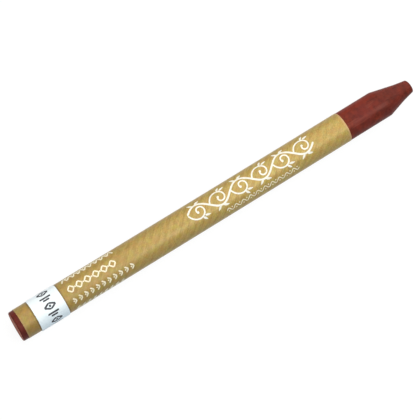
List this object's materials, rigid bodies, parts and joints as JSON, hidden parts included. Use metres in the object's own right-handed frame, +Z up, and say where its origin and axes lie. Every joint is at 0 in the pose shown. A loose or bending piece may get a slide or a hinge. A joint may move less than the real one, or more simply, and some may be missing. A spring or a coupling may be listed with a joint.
{
  "type": "ceramic wax crayon",
  "caption": "Round stick of iron-red marking wax with a sharpened blunt tip, rolled in a printed kraft paper wrapper with a white adhesive band label near its rear end.",
  "frame": {"origin": "centre of the crayon's bounding box at its lowest point, on the surface that it lies on", "axes": "+X along the stick towards the sharpened tip, +Z up, with the crayon lying on its side"},
  "size_m": [0.119, 0.0085, 0.0084],
  "materials": {
    "wax": "waxy satin, iron-red pigment, faint rub marks",
    "wrapper_paper": "smooth golden kraft paper with a fine printed slant hatch",
    "label_tape": "white coated tape, satin"
  },
  "bodies": {
    "root": {"wax_stick": "wax", "paper_wrapper": "wrapper_paper", "shade_label": "label_tape"}
  },
  "joints": []
}
